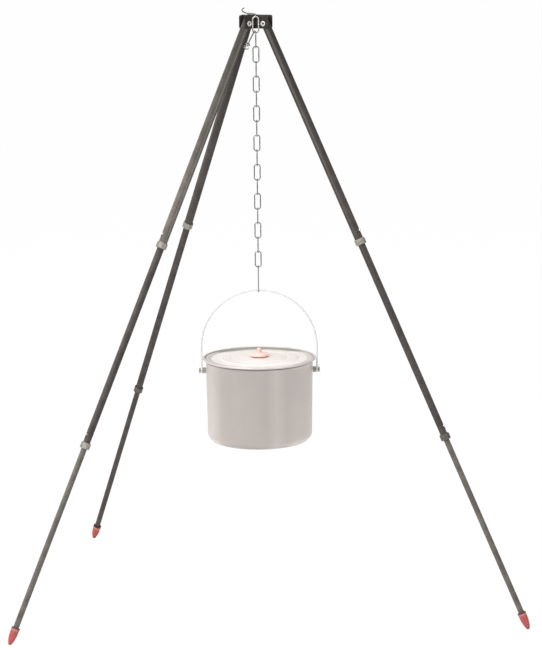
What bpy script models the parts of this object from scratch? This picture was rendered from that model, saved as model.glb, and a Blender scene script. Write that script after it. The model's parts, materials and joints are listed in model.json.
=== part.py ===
"""Campfire tripod: three telescoping legs on a riveted hub, with a chain and a lidded pot.

Metres, +Z up. The origin is on the ground, in the middle of the footprint's box. The front is -Y.
Everything hangs from an empty on the hub's axis, so places in the code are measured from that axis.
Every leg is built straight down from an empty at its hub rivet, which then leans it outward.
"""

import math

import bmesh
import bpy
from mathutils import Vector

# ---- driving dimensions -------------------------------------------------------------------------
HUB_AXIS = (-0.0187, -0.0714, 0)  # foot of the hub's axis
GAP = 0.0003                      # running clearance between neighbours
MERGE = 0.00001                   # points closer than this are one

PIVOT_HEIGHT = 1.318              # hub rivets above the ground
PIVOT_RADIUS = 0.024              # hub rivets from the hub's middle
FOOT_RADIUS = 0.650               # foot tips from the middle, on the ground
TIP_HEIGHT = 0.0040               # middle of the rounded foot tip above the ground
LEG_AZIMUTHS = {"front_left": -57.5, "right": 64.3, "back_left": -139.3}   # 0 is -Y, + towards +X

TUBE_SIDES = 20
UPPER_TUBE = (0.0095, 0.00825)    # outer and inner radius
MIDDLE_TUBE = (0.0079, 0.0067)
LOWER_TUBE = (0.00635, 0.0053)
LEG_TOP = -0.017                  # upper tube's end, above the rivet
UPPER_COLLAR_AT = 0.528           # collar middles, down the leg from the rivet
LOWER_COLLAR_AT = 0.998
TUBE_OVERLAP = 0.055              # length of each inner tube kept inside the next one
COLLAR_LENGTH = 0.014
COLLAR_LIP = 0.004                # closed-down end of the collar, round the inner tube
COLLAR_CHAMFER = 0.006
UPPER_COLLAR_HALF_WIDTH = 0.0112
LOWER_COLLAR_HALF_WIDTH = 0.0104
BUTTON_ABOVE_COLLAR = 0.0245
BUTTON_RADIUS = 0.0025
BUTTON_PROUD = 0.003
BUTTON_TAIL_GAP = 0.00005         # from the button's tail to the inner tube

FOOT_LENGTH = 0.040
FOOT_RIM_RADIUS = 0.0100
FOOT_TIP_RADIUS = 0.0045
FOOT_FLOOR = 0.008                # bottom of the bore, above the middle of the rounded tip
FOOT_SHAPE = [                    # how far inside the rim's radius, how far below the rim
    (0.0010, 0.0), (0.0, 0.0015), (0.0, 0.0050), (0.0009, 0.0070), (0.0012, 0.0180),
    (0.0030, 0.0290),
]

PLATE_THICKNESS = 0.002
PLATE_TOP = 1.3365
PLATE_BOTTOM = 1.307
PLATE_REACH = 0.036               # wing ends, from the hub's middle
PLATE_BEND = 0.003
CHEEK = UPPER_TUBE[0] + 0.0004    # inner face of a cheek, from the leg's middle plane
RIVET_SHANK = 0.0040
RIVET_BORE = 0.0024
RIVET_FLANGE = (0.0058, 0.0012)   # radius and thickness
RIVET_ROLL = (0.0006, 0.0005)     # how far in its outer edge is rounded, and the flat rim's height

LINK_WIRE = 0.0013                # wire radii
HOOK_WIRE = 0.00125
WIRE_GAP = 0.0005                 # between two wires that hang on each other
LINK_COUNT = 17
LINK_PITCH = 0.03278
LINK_HALF_WIDTH = 0.0067          # middle of the wire
LINK_BEND_STEPS = 6
HOOK_PLATE_BEND = 0.0038
HOOK_LINK_BEND = 0.0042
HOOK_BACK_Y = -0.0094
HOOK_SHOULDER_DROP = 0.0012       # middle of the bend over the plate, below the plate's top
HOOK_SEAT_DROP = 0.0006           # middle of the link's seat, below the middle of that bend
HOOK_FREE_END = [                 # from its tip; heights are above the plate's top
    (-0.0245, -0.0220, 0.0168), (-0.0375, -0.0170, 0.0095), (-0.0200, -0.0105, 0.0045),
    (-0.0060, -0.0093, 0.0035),
]

TAIL_OFFSET = 0.0042              # tail link, to the left of the chain
TAIL_FORWARD = math.radians(28)   # its lean towards -Y and then towards -X
TAIL_ASIDE = math.radians(28)
TAIL_HOOK_BENDS = (0.0042, 0.0048)
TAIL_HOOK_STEM = 0.0065
TAIL_HOOK_OPENING = -20           # degrees, end of its top bend
POT_HOOK_BENDS = (0.0042, 0.0062)

BAIL_WIRE = 0.0020
EAR_X = 0.131                     # bail plane from the pot's middle
EAR_Z = 0.5368
BAIL_TOP_Z = 0.7204
BAIL_EYE = 0.0056                 # radius of the eye round an ear
EAR_SHAPE = [                     # radius, and height out from the bail's plane
    (0.0, 0.0062), (0.0050, 0.0062), (0.0060, 0.0052), (0.0060, 0.0026), (0.0032, 0.0026),
    (0.0032, -0.0026), (0.0066, -0.0026),
]
EAR_BASE = 0.0066
EAR_STANDOFF = 0.0006             # from the pot's wall to the ear
POT_RIM_Z = 0.5672
POT_BASE_Z = 0.3755
POT_RADIUS = 0.1211
POT_BASE_RADIUS = 0.1190
POT_WALL = 0.0012
LIP_RADIUS = 0.1284
LID_RADIUS = 0.1228
POT_LEDGE_DROP = 0.0043           # the lid's ledge, below the rim
LID_CLEARANCE = 0.0007            # between the lid's edge and the lip
LID_TOP = [                       # radius, and height above the lid's seat
    (0.0, 0.0042), (0.018, 0.0042), (0.030, 0.0036), (0.086, 0.0026), (0.090, 0.0010),
    (0.112, 0.0010), (0.115, 0.0022),
]
LID_THICKNESS = 0.0010
LID_EDGE = (0.0022, 0.0016, 0.0006)   # heights of the edge's rounding and of its foot
KNOB_RADIUS = 0.022
KNOB_STEM = (0.0042, 0.0050, 0.0054)  # radii at the top, below the rounding and at the dome
KNOB_TOP = 0.0205                 # above the pot's rim
KNOB_DOME = (0.0052, 0.0046)      # height of the dome's middle above its base, and its rise
POT_SIDES = 32
KNOB_SIDES = 16
EAR_SIDES = 16
SMALL_SIDES = 12                  # rivets, buttons and their holes

# ---- worked out from them -----------------------------------------------------------------------
LEAN = math.atan2(FOOT_RADIUS - PIVOT_RADIUS, PIVOT_HEIGHT - TIP_HEIGHT)
LEG_LENGTH = math.hypot(FOOT_RADIUS - PIVOT_RADIUS, PIVOT_HEIGHT - TIP_HEIGHT)
LINK_CONTACT = 2 * LINK_WIRE + WIRE_GAP    # between the middles of two wires that hang together
HOOK_CONTACT = LINK_WIRE + HOOK_WIRE + WIRE_GAP
CHAIN_Y = HOOK_BACK_Y - 2 * HOOK_PLATE_BEND - HOOK_LINK_BEND
HOOK_SHOULDER_Z = PLATE_TOP - HOOK_SHOULDER_DROP
HOOK_SEAT_Z = HOOK_SHOULDER_Z - HOOK_SEAT_DROP - HOOK_LINK_BEND
LINK_HALF = (LINK_PITCH + LINK_CONTACT) / 2
FIRST_LINK_Z = HOOK_SEAT_Z + HOOK_CONTACT - LINK_HALF
LEDGE_Z = POT_RIM_Z - POT_LEDGE_DROP
LID_SEAT_Z = LEDGE_Z + GAP

COLOURS = {                       # base colour, roughness, metallic
    "powder_coated_steel": ((0.085, 0.078, 0.070), 0.55, 0.3),
    "black_steel_plate": ((0.030, 0.027, 0.025), 0.55, 0.5),
    "collar_metal": ((0.28, 0.26, 0.24), 0.45, 0.7),
    "bright_zinc": ((0.62, 0.60, 0.58), 0.30, 1.0),
    "red_rubber": ((0.45, 0.06, 0.07), 0.50, 0.0),
    "satin_aluminium": ((0.62, 0.58, 0.54), 0.38, 0.9),
    "coral_knob": ((0.80, 0.36, 0.28), 0.45, 0.0),
}

# ---- scene set-up -------------------------------------------------------------------------------
for old in list(bpy.data.objects):
    bpy.data.objects.remove(old, do_unlink=True)
PARTS = bpy.data.collections.new("campfire_tripod")
CUTTERS = bpy.data.collections.new("cutters")
for collection in (PARTS, CUTTERS):
    bpy.context.scene.collection.children.link(collection)
HUB = bpy.data.objects.new("hub_axis", None)
HUB.location = HUB_AXIS
PARTS.objects.link(HUB)


def material(name):
    """The named Principled material, made once."""
    found = bpy.data.materials.get(name)
    if found:
        return found
    colour, roughness, metallic = COLOURS[name]
    made = bpy.data.materials.new(name)
    made.use_nodes = True
    shader = made.node_tree.nodes["Principled BSDF"]
    shader.inputs["Base Color"].default_value = (*colour, 1)
    shader.inputs["Roughness"].default_value = roughness
    shader.inputs["Metallic"].default_value = metallic
    made.diffuse_color = (*colour, 1)
    return made


# ---- ways of making a solid ---------------------------------------------------------------------
def add(name, data, finish=None, parent=None, location=(0, 0, 0), rotation=(0, 0, 0)):
    """Put data in the scene: a part if it has a finish, else a cutter."""
    obj = bpy.data.objects.new(name, data)
    obj.parent = parent or HUB
    obj.location = location
    obj.rotation_euler = rotation
    if finish:
        data.materials.append(material(finish))
        PARTS.objects.link(obj)
    else:
        CUTTERS.objects.link(obj)
        obj.hide_render = True
        obj.display_type = "WIRE"
    return obj


def empty(name, parent=None, location=(0, 0, 0), rotation=(0, 0, 0)):
    """A joint's frame, which the pieces that move on it hang from."""
    obj = bpy.data.objects.new(name, None)
    obj.parent = parent or HUB
    obj.location = location
    obj.rotation_euler = rotation
    PARTS.objects.link(obj)
    return obj


def primitive(name, finish, make, **placing):
    """A mesh that make fills through bmesh."""
    mesh = bpy.data.meshes.new(name)
    work = bmesh.new()
    make(work)
    work.to_mesh(mesh)
    work.free()
    return add(name, mesh, finish, **placing)


def rod(name, finish, radius, length, sides=16, **placing):
    """A solid cylinder along its own Z, centred on its origin."""
    def make(work):
        bmesh.ops.create_cone(work, cap_ends=True, segments=sides, radius1=radius,
                              radius2=radius, depth=length)
    return primitive(name, finish, make, **placing)


def block(name, finish, size, **placing):
    """A box of this size, centred on its origin."""
    def make(work):
        bmesh.ops.create_cube(work, size=1)
        bmesh.ops.scale(work, vec=size, verts=work.verts)
    return primitive(name, finish, make, **placing)


def turned(name, finish, profile, sides, closed=False, **placing):
    """A profile of (radius, height) points, down its outer side, turned about Z."""
    mesh = bpy.data.meshes.new(name)
    count = len(profile)
    edges = [(i, i + 1) for i in range(count - 1)]
    if closed:
        edges.append((count - 1, 0))
    mesh.from_pydata([(r, 0, z) for r, z in profile], edges, [])
    obj = add(name, mesh, finish, **placing)
    screw = obj.modifiers.new("turn", "SCREW")
    screw.steps = sides
    screw.render_steps = sides
    screw.use_merge_vertices = True
    screw.merge_threshold = MERGE
    screw.use_smooth_shade = True
    return obj


def tube(name, finish, radii, top, bottom, **placing):
    """A pipe down the leg, from top to bottom measured below the rivet."""
    outer, inner = radii
    profile = [(outer, -top), (outer, -bottom), (inner, -bottom), (inner, -top)]
    return turned(name, finish, profile, TUBE_SIDES, closed=True, **placing)


def wire(name, finish, points, radius, cyclic=False, **placing):
    """A round wire along points."""
    curve = bpy.data.curves.new(name, "CURVE")
    curve.dimensions = "3D"
    curve.bevel_depth = radius
    curve.bevel_resolution = 2
    curve.use_fill_caps = not cyclic
    spline = curve.splines.new("POLY")
    spline.points.add(len(points) - 1)
    for slot, point in zip(spline.points, points):
        slot.co = (*point, 1)
    spline.use_cyclic_u = cyclic
    return add(name, curve, finish, **placing)


def cut(obj, cutter):
    """Cut a hole with the exact solver."""
    boolean = obj.modifiers.new(cutter.name, "BOOLEAN")
    boolean.operation = "DIFFERENCE"
    boolean.solver = "EXACT"
    boolean.object = cutter


def arc(centre, radius, start, end, steps):
    """(across, up) points on an arc from one angle to another, in degrees."""
    angles = [math.radians(start + (end - start) * i / steps) for i in range(steps + 1)]
    return [(centre[0] + radius * math.cos(a), centre[1] + radius * math.sin(a)) for a in angles]


def outward(azimuth):
    """Unit vector on the ground towards an azimuth."""
    angle = math.radians(azimuth)
    return Vector((math.sin(angle), -math.cos(angle), 0))


# ---- legs ---------------------------------------------------------------------------------------
def button_hole(name, parent, below):
    """Cutter for a snap button's hole, on the outward side of a tube."""
    outer = UPPER_TUBE[0]
    return rod(name, None, BUTTON_RADIUS + GAP, 1.2 * outer, sides=SMALL_SIDES, parent=parent,
               location=(0, -outer, -below), rotation=(math.pi / 2, 0, 0))


def snap_button(name, parent, radii, below):
    """Domed pin through the outer tube's wall, at right angles to the leg."""
    outer, inner = radii
    top = outer + BUTTON_PROUD
    dome = [(r, top - BUTTON_RADIUS + z) for r, z in arc((0, 0), BUTTON_RADIUS, 90, 0, 4)]
    tail = inner + BUTTON_TAIL_GAP
    profile = [(0, top)] + dome[1:] + [(BUTTON_RADIUS, tail), (0, tail)]
    turned(name, "bright_zinc", profile, SMALL_SIDES, parent=parent, location=(0, 0, -below),
           rotation=(math.pi / 2, 0, 0))


def collar(name, parent, radii, next_radii, half_width, at):
    """Square sleeve with chamfered corners round the end of a tube, closed down below it."""
    sleeve = block(name, "collar_metal", (2 * half_width, 2 * half_width, COLLAR_LENGTH),
                   parent=parent, location=(0, 0, -at))
    corners = sleeve.modifiers.new("corners", "BEVEL")
    corners.width = COLLAR_CHAMFER
    corners.segments = 2
    corners.limit_method = "WEIGHT"
    weight = sleeve.data.attributes.new("bevel_weight_edge", "FLOAT", "EDGE")
    for edge in sleeve.data.edges:
        start, end = (sleeve.data.vertices[i].co for i in edge.vertices)
        weight.data[edge.index].value = float(abs(start.z - end.z) > COLLAR_LENGTH / 2)
    top = COLLAR_LENGTH
    step = COLLAR_LIP - COLLAR_LENGTH / 2
    profile = [(0, top), (radii[0] + GAP, top), (radii[0] + GAP, step),
               (next_radii[0] + GAP, step), (next_radii[0] + GAP, -top), (0, -top)]
    cut(sleeve, turned(name + "_bore", None, profile, TUBE_SIDES, parent=parent,
                       location=(0, 0, -at)))


def foot(name, parent):
    """Bullet-shaped rubber cup with a rounded tip, cut flat where it meets the ground."""
    rim = -LEG_LENGTH - FOOT_TIP_RADIUS + FOOT_LENGTH
    floor = -LEG_LENGTH + FOOT_FLOOR
    bore = LOWER_TUBE[0] + GAP
    mouth = [(0, floor), (bore, floor), (bore, rim - 0.0050), (bore + 0.0017, rim - 0.0010)]
    side = [(FOOT_RIM_RADIUS - inside, rim - below) for inside, below in FOOT_SHAPE]
    tip = arc((0, -LEG_LENGTH), FOOT_TIP_RADIUS, -20, -90, 4)[:-1]
    profile = mouth + side + tip + [(0, -LEG_LENGTH - FOOT_TIP_RADIUS)]
    cut(turned(name, "red_rubber", profile, TUBE_SIDES, parent=parent), GROUND)


def rivet(side, azimuth, pivot):
    """Hollow rivet through two cheeks and a leg."""
    half = CHEEK + PLATE_THICKNESS + GAP
    radius, thickness = RIVET_FLANGE
    roll, rim = RIVET_ROLL
    upper = [(radius - roll, half + thickness), (radius, half + rim), (radius, half),
             (RIVET_SHANK, half)]
    lower = [(r, -z) for r, z in reversed(upper)]
    bore = [(RIVET_BORE, -half - thickness), (RIVET_BORE, half + thickness)]
    turned("hub_rivet_" + side, "bright_zinc", upper + lower + bore, SMALL_SIDES, closed=True,
           location=pivot, rotation=(0, math.pi / 2, math.radians(azimuth)))


def leg(side, azimuth):
    """One leg and its rivet; returns the cutter for the rivet's holes in the hub plates."""
    name = "leg_" + side
    pivot = outward(azimuth) * PIVOT_RADIUS + Vector((0, 0, PIVOT_HEIGHT))
    hinge = empty(name + "_hinge", location=pivot, rotation=(-LEAN, 0, math.radians(azimuth)))
    end_in_collar = COLLAR_LENGTH / 2 - COLLAR_LIP - GAP
    upper_end = UPPER_COLLAR_AT + end_in_collar
    middle_end = LOWER_COLLAR_AT + end_in_collar
    middle_top = UPPER_COLLAR_AT - TUBE_OVERLAP
    lower_top = LOWER_COLLAR_AT - TUBE_OVERLAP
    upper_button_at = UPPER_COLLAR_AT - BUTTON_ABOVE_COLLAR
    lower_button_at = LOWER_COLLAR_AT - BUTTON_ABOVE_COLLAR

    upper_hole = button_hole(name + "_upper_button_hole", hinge, upper_button_at)
    lower_hole = button_hole(name + "_lower_button_hole", hinge, lower_button_at)
    rivet_hole = rod(name + "_rivet_hole", None, RIVET_SHANK + GAP, 3 * UPPER_TUBE[0],
                     parent=hinge, rotation=(0, math.pi / 2, 0))

    upper = tube(name + "_upper_tube", "powder_coated_steel", UPPER_TUBE, LEG_TOP, upper_end,
                 parent=hinge)
    cut(upper, rivet_hole)
    cut(upper, upper_hole)
    middle = tube(name + "_middle_tube", "powder_coated_steel", MIDDLE_TUBE, middle_top,
                  middle_end, parent=hinge)
    cut(middle, upper_hole)
    cut(middle, lower_hole)
    lower_end = LEG_LENGTH - FOOT_FLOOR - GAP
    lower = tube(name + "_lower_tube", "powder_coated_steel", LOWER_TUBE, lower_top, lower_end,
                 parent=hinge)
    cut(lower, lower_hole)

    collar(name + "_upper_collar", hinge, UPPER_TUBE, MIDDLE_TUBE, UPPER_COLLAR_HALF_WIDTH,
           UPPER_COLLAR_AT)
    collar(name + "_lower_collar", hinge, MIDDLE_TUBE, LOWER_TUBE, LOWER_COLLAR_HALF_WIDTH,
           LOWER_COLLAR_AT)
    snap_button(name + "_upper_button", hinge, UPPER_TUBE, upper_button_at)
    snap_button(name + "_lower_button", hinge, MIDDLE_TUBE, lower_button_at)
    foot(name + "_foot", hinge)
    rivet(side, azimuth, pivot)
    return rod("hub_rivet_hole_" + side, None, RIVET_SHANK + GAP, 4 * CHEEK, location=pivot,
               rotation=(math.pi / 2, 0, math.radians(azimuth + 90)))


# ---- hub ----------------------------------------------------------------------------------------
def fillet(middle, half_angle, distance, radius, steps=4):
    """Rounded corner of two lines that meet at a distance along the middle direction."""
    corner = outward(middle) * distance
    centre = corner + outward(middle) * (radius / math.sin(half_angle))
    sweep = math.pi - 2 * half_angle
    points = []
    for i in range(steps + 1):
        turn = math.degrees(-sweep / 2 + sweep * i / steps)
        points.append(centre - outward(middle + turn) * radius)
    return points


def hub_plate(name, first, second, holes):
    """V-shaped plate: one wing along each of two neighbouring legs."""
    middle = (first + second) / 2
    half_angle = math.radians((second - first) / 2)
    near = CHEEK
    far = CHEEK + PLATE_THICKNESS
    along_first = outward(first) * PLATE_REACH
    along_second = outward(second) * PLATE_REACH
    to_second = outward(first + 90)
    to_first = outward(second - 90)
    inner = fillet(middle, half_angle, near / math.sin(half_angle), PLATE_BEND + PLATE_THICKNESS)
    outer = fillet(middle, half_angle, far / math.sin(half_angle), PLATE_BEND)
    inner_bend = sorted(inner, key=lambda p: p.dot(to_second - to_first))
    outer_bend = sorted(outer, key=lambda p: p.dot(to_second - to_first), reverse=True)
    outline = [along_first + to_second * near] + inner_bend + [along_second + to_first * near,
               along_second + to_first * far] + outer_bend + [along_first + to_second * far]

    curve = bpy.data.curves.new(name, "CURVE")
    curve.dimensions = "2D"
    curve.fill_mode = "BOTH"
    curve.extrude = (PLATE_TOP - PLATE_BOTTOM) / 2
    spline = curve.splines.new("POLY")
    spline.points.add(len(outline) - 1)
    for slot, point in zip(spline.points, outline):
        slot.co = (point.x, point.y, 0, 1)
    spline.use_cyclic_u = True
    centre = (0, 0, (PLATE_TOP + PLATE_BOTTOM) / 2)
    plate = as_mesh(add(name, curve, "black_steel_plate", location=centre))
    for hole in holes:
        cut(plate, hole)


def as_mesh(obj):
    """The same shape as a closed mesh, so that it can be cut."""
    graph = bpy.context.evaluated_depsgraph_get()
    graph.update()
    mesh = bpy.data.meshes.new_from_object(obj.evaluated_get(graph))
    work = bmesh.new()
    work.from_mesh(mesh)
    bmesh.ops.remove_doubles(work, verts=work.verts, dist=MERGE)
    work.to_mesh(mesh)
    work.free()
    name = obj.name
    made = bpy.data.objects.new(name + "_mesh", mesh)
    made.matrix_world = obj.matrix_world.copy()
    PARTS.objects.link(made)
    bpy.data.objects.remove(obj, do_unlink=True)
    made.name = name
    return made


# ---- chain --------------------------------------------------------------------------------------
def link_loop():
    """Middle line of a link's wire, as (across, up) points about its middle."""
    straight = LINK_HALF - LINK_HALF_WIDTH
    top = arc((0, straight), LINK_HALF_WIDTH, 0, 180, LINK_BEND_STEPS)
    bottom = arc((0, -straight), LINK_HALF_WIDTH, 180, 360, LINK_BEND_STEPS)
    return top + bottom


def chain_link(name, location, edge_on, **placing):
    """One oval link, flat in XZ, or in YZ when it is edge on."""
    points = [(0, a, b) if edge_on else (a, 0, b) for a, b in link_loop()]
    wire(name, "bright_zinc", points, LINK_WIRE, cyclic=True, location=location, **placing)


def s_hook_points(top_bend, bottom_bend, height, opening=-50):
    """S-hook about the middle of its top bend, its two bearing points in line."""
    top = arc((0, 0), top_bend, opening, 180, 8)
    bottom = arc((0, -height), bottom_bend, 0, -200, 7)
    return top + bottom


def suspension_hook():
    """Wire hook: its free end arches over the front left leg, then it bends over the front plate
    and ends in a seat for the first link."""
    tip, side, across, near = [Vector((x, y, PLATE_TOP + z)) for x, y, z in HOOK_FREE_END]
    free_end = [tip] + smooth(tip, side, across, 4) + [across, near]
    over = arc((HOOK_BACK_Y - HOOK_PLATE_BEND, HOOK_SHOULDER_Z), HOOK_PLATE_BEND, 50, 180, 6)
    seat = arc((CHAIN_Y, HOOK_SEAT_Z + HOOK_LINK_BEND), HOOK_LINK_BEND, 0, -190, 8)
    line = [tuple(point) for point in free_end] + [(0, y, z) for y, z in over + seat]
    wire("suspension_hook", "bright_zinc", line, HOOK_WIRE)


def smooth(start, pull, end, steps):
    """Points on a curve from start to end that bends towards pull, without its ends."""
    shares = [i / steps for i in range(1, steps)]
    return [start * (1 - t) ** 2 + pull * 2 * t * (1 - t) + end * t ** 2 for t in shares]


def chain():
    """The hanging links, with the free tail on the first one; returns the last link's bottom."""
    for i in range(LINK_COUNT):
        z = FIRST_LINK_Z - i * LINK_PITCH
        chain_link(f"chain_link_{i + 1:02d}", (0, CHAIN_Y, z), edge_on=i % 2 == 1)
    bend_middle = FIRST_LINK_Z - LINK_HALF + LINK_HALF_WIDTH
    seat_z = bend_middle - math.sqrt(LINK_HALF_WIDTH ** 2 - TAIL_OFFSET ** 2)
    tail = empty("tail_hinge", location=(-TAIL_OFFSET, CHAIN_Y, seat_z),
                 rotation=(-TAIL_FORWARD, TAIL_ASIDE, 0))
    drop = LINK_CONTACT - LINK_HALF
    chain_link("tail_link", (0, 0, drop), edge_on=True, parent=tail)
    end = empty("tail_hook_hinge", parent=tail, location=(0, 0, drop - LINK_HALF),
                rotation=(0, 0, math.pi / 2))
    top = HOOK_CONTACT - TAIL_HOOK_BENDS[0]
    shape = s_hook_points(*TAIL_HOOK_BENDS, TAIL_HOOK_STEM, TAIL_HOOK_OPENING)
    points = [(0, a, top + b) for a, b in shape]
    wire("tail_hook", "bright_zinc", points, HOOK_WIRE, parent=end)
    return FIRST_LINK_Z - (LINK_COUNT - 1) * LINK_PITCH - LINK_HALF


def pot_hook(last_bottom):
    """S-hook between the last link and the bail."""
    top_bend, bottom_bend = POT_HOOK_BENDS
    top_z = last_bottom + HOOK_CONTACT - top_bend
    seat_z = BAIL_TOP_Z - BAIL_WIRE - HOOK_WIRE - WIRE_GAP
    stem = top_z - seat_z - bottom_bend
    points = [(0, a, top_z + b) for a, b in s_hook_points(top_bend, bottom_bend, stem)]
    wire("pot_hook", "bright_zinc", points, HOOK_WIRE, location=(0, CHAIN_Y, 0))


# ---- pot ----------------------------------------------------------------------------------------
def bail():
    """Wire arch over the pot, with an eye round each ear."""
    shoulder = BAIL_TOP_Z - EAR_X
    right_eye = [(EAR_X, y, z) for y, z in arc((0, EAR_Z), BAIL_EYE, 440, 180, 10)]
    left_eye = [(-x, y, z) for x, y, z in reversed(right_eye)]
    over = [(x, 0, z) for x, z in arc((0, shoulder), EAR_X, 0, 180, 16)]
    wire("pot_bail", "bright_zinc", right_eye + over + left_eye, BAIL_WIRE,
         location=(0, CHAIN_Y, 0))


def ear(name, sideways):
    """Riveted spool on the pot's side that the bail's eye turns on."""
    start = POT_RADIUS + EAR_STANDOFF
    profile = [(r, EAR_X + z) for r, z in EAR_SHAPE] + [(EAR_BASE, start), (0, start)]
    turned(name, "satin_aluminium", profile, EAR_SIDES, location=(0, CHAIN_Y, EAR_Z),
           rotation=(0, sideways * math.pi / 2, 0))


def pot():
    """Round pot with a turned-out lip, and a ledge inside the lip for the lid."""
    bore = LID_RADIUS + LID_CLEARANCE
    inside = [
        (0, POT_BASE_Z + 0.0016),
        (POT_BASE_RADIUS - 0.0100, POT_BASE_Z + 0.0016),
        (POT_BASE_RADIUS - 0.0035, POT_BASE_Z + 0.0045),
        (POT_BASE_RADIUS - POT_WALL, POT_BASE_Z + 0.0120),
        (POT_RADIUS - POT_WALL, LEDGE_Z - 0.0030),
        (bore, LEDGE_Z),
        (bore, POT_RIM_Z - 0.0008),
    ]
    lip = [
        (bore + 0.0013, POT_RIM_Z),
        (LIP_RADIUS - 0.0016, POT_RIM_Z),
        (LIP_RADIUS, POT_RIM_Z - 0.0016),
        (LIP_RADIUS - 0.0006, POT_RIM_Z - 0.0036),
        (LIP_RADIUS - 0.0030, LEDGE_Z - 0.0010),
    ]
    outside = [
        (POT_RADIUS, LEDGE_Z - 0.0060),
        (POT_BASE_RADIUS, POT_BASE_Z + 0.0120),
        (POT_BASE_RADIUS - 0.0020, POT_BASE_Z + 0.0040),
        (POT_BASE_RADIUS - 0.0080, POT_BASE_Z),
        (0, POT_BASE_Z),
    ]
    turned("pot_shell", "satin_aluminium", inside + lip + outside, POT_SIDES,
           location=(0, CHAIN_Y, 0))


def lid():
    """Shallow lid with a rolled edge and a pressed ring."""
    rounding, side, edge_foot = LID_EDGE
    edge = [(LID_RADIUS - 0.0006, rounding), (LID_RADIUS, side), (LID_RADIUS, edge_foot)]
    under = [(r, z - LID_THICKNESS) for r, z in reversed(LID_TOP)]
    profile = [(r, LID_SEAT_Z + z) for r, z in LID_TOP + edge + under]
    turned("pot_lid", "satin_aluminium", profile, POT_SIDES, location=(0, CHAIN_Y, 0))


def knob():
    """Domed plastic knob with an upright stem."""
    base = LID_SEAT_Z + LID_TOP[0][1] + GAP
    top = POT_RIM_Z + KNOB_TOP
    at_top, below_top, at_dome = KNOB_STEM
    middle, rise = KNOB_DOME
    dome = [(KNOB_RADIUS * r, base + middle + rise * z) for r, z in arc((0, 0), 1, 62, 0, 4)]
    stem = [(0, top), (at_top, top), (below_top, top - 0.0012), (at_dome, dome[0][1] + 0.0008)]
    foot_ring = [(KNOB_RADIUS - 0.0008, base + 0.0020), (0.0120, base), (0, base)]
    turned("lid_knob", "coral_knob", stem + dome + foot_ring, KNOB_SIDES,
           location=(0, CHAIN_Y, 0))


# ---- assembly -----------------------------------------------------------------------------------
GROUND_SIZE = (2, 2, 0.1)
GROUND = block("ground_cutter", None, GROUND_SIZE, location=(0, 0, -GROUND_SIZE[2] / 2))
rivet_holes = {side: leg(side, azimuth) for side, azimuth in LEG_AZIMUTHS.items()}
around = [("front", "front_left", "right"), ("right", "right", "back_left"),
          ("left", "back_left", "front_left")]
for plate_side, first_leg, second_leg in around:
    start = LEG_AZIMUTHS[first_leg]
    end = LEG_AZIMUTHS[second_leg]
    if end < start:
        end += 360
    hub_plate("hub_plate_" + plate_side, start, end,
              [rivet_holes[first_leg], rivet_holes[second_leg]])
suspension_hook()
pot_hook(chain())
bail()
ear("pot_ear_left", -1)
ear("pot_ear_right", 1)
pot()
lid()
knob()
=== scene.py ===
"""Looks of the campfire tripod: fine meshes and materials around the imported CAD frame.

Metres, +Z up. Every piece is built in the frame of the leg, link or pot that it belongs to. Its
overall sizes are read from the CAD nodes and its place from the joints. Its finer sizes are given
here, in millimetres.
"""

import json
import math

import bmesh
import bpy
from mathutils import Matrix, Vector


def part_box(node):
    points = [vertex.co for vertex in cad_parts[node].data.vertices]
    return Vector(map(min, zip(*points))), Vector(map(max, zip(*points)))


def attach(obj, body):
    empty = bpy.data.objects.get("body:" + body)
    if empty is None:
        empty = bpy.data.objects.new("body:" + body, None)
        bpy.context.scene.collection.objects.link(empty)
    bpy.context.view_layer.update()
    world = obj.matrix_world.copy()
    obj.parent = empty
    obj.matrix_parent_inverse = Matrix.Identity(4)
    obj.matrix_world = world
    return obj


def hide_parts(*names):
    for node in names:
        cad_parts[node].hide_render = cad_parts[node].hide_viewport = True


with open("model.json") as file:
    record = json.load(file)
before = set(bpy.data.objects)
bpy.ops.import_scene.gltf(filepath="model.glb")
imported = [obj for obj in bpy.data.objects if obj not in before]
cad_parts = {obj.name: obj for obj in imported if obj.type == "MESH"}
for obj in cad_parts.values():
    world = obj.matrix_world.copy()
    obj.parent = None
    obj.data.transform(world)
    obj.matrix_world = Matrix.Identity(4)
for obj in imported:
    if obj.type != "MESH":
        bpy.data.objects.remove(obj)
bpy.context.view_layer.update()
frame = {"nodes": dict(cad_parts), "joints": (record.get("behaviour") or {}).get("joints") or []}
JOINTS = {joint["name"]: joint for joint in frame["joints"]}
SIDES = ("front_left", "right", "back_left")

# ---- camera ---------------------------------------------------------------------------------------
CAMERA_PLACE = Vector((0.0, -5.09, 1.578))  # from the foot of the hub's axis
CAMERA_PITCH = math.radians(10.46)        # below the horizon
CAMERA_YAW = math.radians(0.31)           # towards +X
CAMERA_ROLL = math.radians(-0.57)
CAMERA_LENS = 126.4                       # on a 36 mm sensor along the picture's height

MM = 0.001
WIRE_RING = 14                            # points round a wire
TURN = 96                                 # points round a turned piece


# ---- reading the frame ----------------------------------------------------------------------------
def extent(node, place=Matrix.Identity(4)):
    """Lowest and highest corner of a CAD node, in the axes of a place."""
    into = place.inverted()
    points = [into @ vertex.co for vertex in frame["nodes"][node].data.vertices]
    low = Vector([min(point[i] for point in points) for i in range(3)])
    high = Vector([max(point[i] for point in points) for i in range(3)])
    return low, high


def joint_place(name):
    """The joint's point."""
    return Vector(JOINTS[name]["pos_m"])


def axes(across, along, up, origin):
    """Matrix with these three unit axes and origin."""
    turned = Matrix((across, along, up)).transposed().to_4x4()
    turned.translation = origin
    return turned


# The hub's axis stands a fixed way behind the chain.
HUB = joint_place("chain_hinge_01") * Vector((1, 1, 0)) + Vector((0, 21.2 * MM, 0))


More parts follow.
